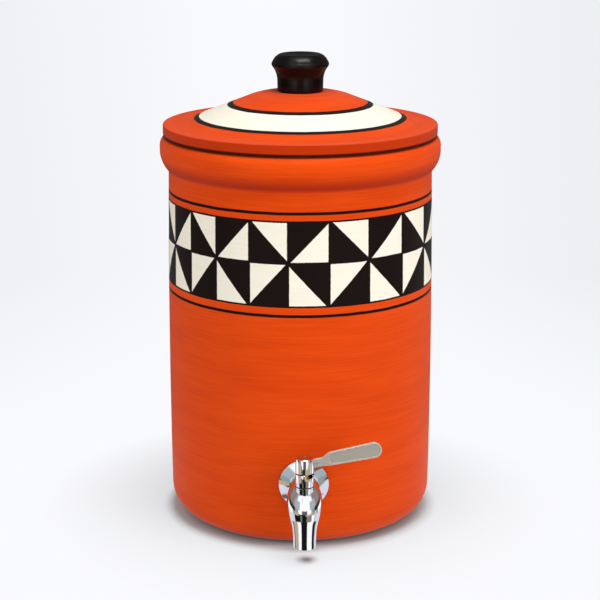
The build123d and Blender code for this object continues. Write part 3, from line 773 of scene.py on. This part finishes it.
def rosette_skin():
    """The cover plate: a chromed cone of thin sheet with a flat front and a rolled edge."""
    front, edge, hole, sheet = 11.9, 20.3, 6.2, 1.1
    wall_gap, edge_top = 0.3, 1.1
    under_front = ROSETTE_HEIGHT - sheet
    slope = (edge - front) / (ROSETTE_HEIGHT - edge_top)
    inner = front - sheet * sqrt(1 + slope ** 2)
    pen = Outline(hole, under_front)
    pen.to(inner + slope * sheet, under_front, 0.6)
    pen.to(inner + slope * (ROSETTE_HEIGHT - wall_gap), wall_gap)
    pen.to(edge, wall_gap, 0.25)
    pen.to(edge, edge_top, 0.4)
    pen.to(front, ROSETTE_HEIGHT, 1.1)
    pen.to(hole, ROSETTE_HEIGHT)
    pen.to(hole, under_front)
    return along_shank(pen.turned(128))


piece("tap_casting", cast_skin(), "jar", [chrome], ("tap_body",), sharp=40)
piece("tap_shank", shank_skin(), "jar", [zinc_steel], (), sharp=30)
piece("rosette_plate", rosette_skin(), "jar", [chrome], ("rosette",), sharp=40)


def inside_barrel(face):
    """1 for the inner faces of the tap's barrels, which never were polished."""
    centre = face.calc_center_median() / MM
    return 1 if hypot(centre.x, centre.y - BARREL_Y) < BARREL_INSIDE and face.normal.z < 0.9 else 0


lever_front = min(v.co.y for v in nodes["lever"].data.vertices)


def sunk_panel(face):
    """1 for the floor of the shallow panel pressed into the lever's broad face."""
    floor_depth = (face.calc_center_median().y - lever_front) / MM
    return 1 if face.normal.y < -0.9 and 0.15 < floor_depth < 1.2 else 0


for name, body, node, slot, finishes, break_edges, place in (
    ("bonnet_barrel", "jar", "bonnet", "chrome", [chrome, tarnished], 0.10, inside_barrel),
    ("hub_barrel", "lever", "lever_hub", "chrome", [chrome, tarnished], 0.10, inside_barrel),
    ("index_cap", "lever", "index_disc", "chrome", [index_steel], 0.08, None),
    ("lever_blade", "lever", "lever", "stainless", [satin_steel, panel_steel], 0.12, sunk_panel),
    ("shank_nut", "jar", "lock_nut", "zinc_steel", [zinc_steel], 0.15, None),
):
    piece(name, eased(from_cad(node), break_edges), body, finishes, (node,), sharp=18, place=place)

# The small fittings keep the solids' own meshes
for node, finish in (
    ("knob_washer", zinc_steel), ("knob_screw", stainless), ("outer_washer", rubber),
    ("inner_washer", rubber), ("backing_washer", zinc_steel), ("inlet_seat", seal_plastic),
    ("thrust_washer", seal_plastic), ("bonnet_gasket", rubber), ("plug_spindle", brass),
    ("spindle_o_rings", rubber), ("hub_screw", stainless),
):
    mesh = nodes[node].data
    if mesh.materials:
        for index in range(len(mesh.materials)):
            mesh.materials[index] = finish
    else:
        mesh.materials.append(finish)


# ------------------------------------------------------ floor, light, camera

AMBIENT, FLOOR_LIGHT = 0.25, 0.35
NEAR_TABLE, FAR_TABLE = 66, 172
WHITE, BLACK, TAN = (1.15, 1.15, 1.17), (0.010, 0.010, 0.009), (0.54, 0.44, 0.31)
LAVENDER, DUSK, SLATE = (0.78, 0.78, 0.88), (0.030, 0.034, 0.028), (0.33, 0.39, 0.40)
RUST, PEWTER = (0.32, 0.24, 0.21), (0.44, 0.49, 0.52)
MOSS, UMBER, GREY = (0.24, 0.25, 0.21), (0.12, 0.09, 0.05), (0.13, 0.13, 0.135)


def by_azimuth(stops):
    """Turns stops of (degrees round from the camera's side, colour) into stops of a ramp."""
    return [(0.5 + degrees_round / 360, colour) for degrees_round, colour in stops]


# What mirror-bright metal sees: the table close under the spout, at a hand's breadth and farther off,
# then the room low down, at middle height and high up
UNDER_SPOUT = by_azimuth((
    (-112, LAVENDER), (-108, GREY), (-98, GREY), (-95, TAN), (-60, TAN), (-56, WHITE), (-31, WHITE),
    (-28, BLACK), (18, BLACK), (21, WHITE), (66, WHITE), (69, BLACK), (96, DUSK), (102, LAVENDER)
))
TABLE_NEAR = by_azimuth((
    (-82, LAVENDER), (-74, LAVENDER), (-71, BLACK), (-31, BLACK), (-28, MOSS), (-21, MOSS),
    (-18, BLACK), (10, BLACK), (13, MOSS), (46, MOSS), (49, WHITE), (68, WHITE), (71, MOSS),
    (76, LAVENDER)
))
TABLE_FAR = by_azimuth((
    (-112, WHITE), (-90, WHITE), (-84, TAN), (-44, TAN), (-41, UMBER), (-21, UMBER), (-19, BLACK),
    (4, BLACK), (7, TAN), (66, TAN), (69, MOSS), (75, LAVENDER), (82, LAVENDER), (85, GREY), (92, GREY),
    (98, WHITE)
))
ROOM_LOW = by_azimuth((
    (-118, GREY), (-112, DUSK), (-70, DUSK), (-66, SLATE), (-46, SLATE), (-43, WHITE), (-21, WHITE),
    (-18, GREY), (14, GREY), (17, WHITE), (43, WHITE), (46, SLATE), (66, SLATE), (70, DUSK),
    (112, DUSK), (118, GREY)
))
ROOM_MIDDLE = by_azimuth((
    (-130, GREY), (-112, RUST), (-84, RUST), (-68, PEWTER), (-38, PEWTER), (-32, WHITE), (32, WHITE),
    (38, PEWTER), (68, PEWTER), (84, RUST), (112, RUST), (130, GREY)
))
ROOM_HIGH = by_azimuth((
    (-130, GREY), (-112, RUST), (-82, RUST), (-66, SLATE), (-52, WHITE), (-24, WHITE), (-22, SLATE),
    (-19, WHITE), (52, WHITE), (66, MOSS), (82, RUST), (112, RUST), (130, GREY)
))


def turns(x, toward_camera):
    """The azimuth of a direction from the camera's side, as a place on a ramp."""
    return x.angle_from(toward_camera) * (1 / (2 * pi)) + 0.5


def floor():
    """The table: plain and softly lit to the eye, and a patterned room to the metal that mirrors it."""
    bm = bmesh.new()
    bmesh.ops.create_circle(bm, cap_ends=True, segments=128, radius=14.0)
    bmesh.ops.translate(bm, vec=(0, 0, -0.0004), verts=bm.verts[:])
    obj = loose_object(bm, "floor")
    finish = Finish("floor", Roughness=0.75, Specular_IOR_Level=0.1)
    radius = finish.radius()
    # A cooler tone close to the jar keeps the orange light that it throws down from tinting the table
    cool, plain, foot_shadow, spout_shadow = (
        (0.62, 0.76, 0.775), (0.77, 0.775, 0.785), (0.09, 0.065, 0.055), (0.34, 0.34, 0.35))
    table_tone = finish.shade(((0, cool), (1, plain)), radius.ranged(108, 250, 0, 1))
    ahead = finish.y * -1 + BARREL_Y
    away = (finish.x * finish.x + ahead * ahead).root()
    under, across = ahead + 6.0, finish.x - 2.0
    spot = (across * across + under * under).root()
    table_tone = finish.blend(foot_shadow, table_tone, radius.ranged(91, 105, 0.0, 1.0))
    finish.colour(finish.blend(spout_shadow, table_tone, spot.ranged(2, 10, 0.0, 1.0)))
    tree = finish.tree
    glow = tree.nodes.new("ShaderNodeEmission")
    # The backdrop falls off a little to both sides, and only from beside the jar on backwards
    to_side = (finish.x.abs() / (finish.y + 1484)).ranged(0.02, 0.17, 0, 1)
    aside = to_side * radius.ranged(300, 900, 0.0, 1.0) * finish.y.ranged(-700, -100, 0.0, 1.0)
    middle_glow, side_glow = (0.952, 0.955, 0.985), (0.855, 0.862, 0.890)
    tree.links.new(finish.blend(middle_glow, side_glow, aside), glow.inputs["Color"])
    mix = tree.nodes.new("ShaderNodeMixShader")
    path = tree.nodes.new("ShaderNodeLightPath")
    round_foot = radius.ranged(110, 119, 0.05, 0.62).mixed(1.0, radius.ranged(119, 230, 0.0, 1.0))
    seen_glow = round_foot * spot.ranged(2, 11, 0.10, 1.0)
    camera_ray = Field(tree, path.outputs["Is Camera Ray"])
    tree.links.new((seen_glow * camera_ray.ranged(0, 1, FLOOR_LIGHT, 1.0)).socket, mix.inputs[0])
    tree.links.new(finish.shader.outputs[0], mix.inputs[1])
    tree.links.new(glow.outputs[0], mix.inputs[2])
    turn = turns(finish.x, ahead)
    near, far = (away - NEAR_TABLE).edge(12), (away - FAR_TABLE).edge(14)
    table = finish.blend(ramp(tree, UNDER_SPOUT, turn), ramp(tree, TABLE_NEAR, turn), near)
    table = finish.blend(table, ramp(tree, TABLE_FAR, turn), far)
    # Straight ahead the room begins sooner than it does to the sides
    begins = (finish.x.abs() / away).ranged(0.55, 0.65, 310, 430)
    table = finish.blend(table, ramp(tree, ROOM_LOW, turn), (away - begins).edge(26))
    mirrored = tree.nodes.new("ShaderNodeEmission")
    tree.links.new(table, mirrored.inputs["Color"])
    seen = tree.nodes.new("ShaderNodeMixShader")
    mirror_ray = Field(tree, path.outputs["Is Glossy Ray"])
    tree.links.new((mirror_ray * (away - 16).edge(8)).socket, seen.inputs[0])
    tree.links.new(mix.outputs[0], seen.inputs[1])
    tree.links.new(mirrored.outputs[0], seen.inputs[2])
    tree.links.new(seen.outputs[0], tree.nodes["Material Output"].inputs["Surface"])
    obj.data.materials.append(finish.material)


def softbox(name, place, aim, size, power, mirrored=True):
    """A soft lamp; one that isn't mirrored lights the clay without showing as a patch on the chrome."""
    light = bpy.data.lights.new(name, "AREA")
    light.shape, light.size, light.size_y = "RECTANGLE", size[0], size[1]
    light.energy = power
    obj = bpy.data.objects.new(name, light)
    obj.location = place
    obj.rotation_euler = (Vector(aim) - Vector(place)).to_track_quat("-Z", "Y").to_euler()
    obj.visible_glossy = mirrored
    bpy.context.scene.collection.objects.link(obj)


def studio():
    """The room as the surfaces see it: even for the matt ones, with dark gaps for the shiny ones."""
    world = bpy.data.worlds.new("studio")
    bpy.context.scene.world = world
    world.use_nodes = True
    tree = world.node_tree
    even = tree.nodes["Background"]
    even.inputs["Color"].default_value = (0.985, 0.985, 1.0, 1)
    where = tree.nodes.new("ShaderNodeTexCoord")
    split = tree.nodes.new("ShaderNodeSeparateXYZ")
    tree.links.new(where.outputs["Generated"], split.inputs[0])
    x, y, z = [Field(tree, split.outputs[i]) for i in range(3)]
    path = tree.nodes.new("ShaderNodeLightPath")
    seen, glossy = Field(tree, path.outputs["Is Camera Ray"]), Field(tree, path.outputs["Is Glossy Ray"])
    tree.links.new((seen * (0.90 - AMBIENT) + AMBIENT).socket, even.inputs["Strength"])
    panels = tree.nodes.new("ShaderNodeBackground")
    turn = turns(x, y * -1)
    room = blend(tree, ramp(tree, ROOM_LOW, turn), ramp(tree, ROOM_MIDDLE, turn), (z - 0.08).edge(0.04))
    room = blend(tree, room, ramp(tree, ROOM_HIGH, turn), (z - 0.50).edge(0.10))
    tree.links.new(blend(tree, room, (0.95, 0.95, 0.97), (z - 0.90).edge(0.10)), panels.inputs["Color"])
    join = tree.nodes.new("ShaderNodeMixShader")
    tree.links.new(glossy.socket, join.inputs[0])
    tree.links.new(even.outputs[0], join.inputs[1])
    tree.links.new(panels.outputs[0], join.inputs[2])
    tree.links.new(join.outputs[0], tree.nodes["World Output"].inputs["Surface"])


camera_data = bpy.data.cameras.new("camera")
camera_data.lens, camera_data.sensor_width = 108.0, 36.0
camera_data.clip_start, camera_data.clip_end = 0.05, 60.0
camera = bpy.data.objects.new("camera", camera_data)
camera.location = (-0.0378, -1.4839, 0.5712)
looks_down, turned_by = 14.70, -1.45
camera.rotation_euler = (radians(90 - looks_down), 0, radians(turned_by))
bpy.context.scene.collection.objects.link(camera)
bpy.context.scene.camera = camera
bpy.context.scene.view_settings.view_transform = "Standard"

floor()
studio()
softbox("top", (0.15, -0.34, 1.55), (0, 0, 0.2), (0.8, 0.6), 14.0)
softbox("right", (1.05, -1.00, 0.55), (0, 0, 0.16), (0.6, 0.9), 10.6, mirrored=False)
softbox("left", (-1.20, -0.85, 0.62), (0, 0, 0.16), (0.5, 0.9), 7.4, mirrored=False)
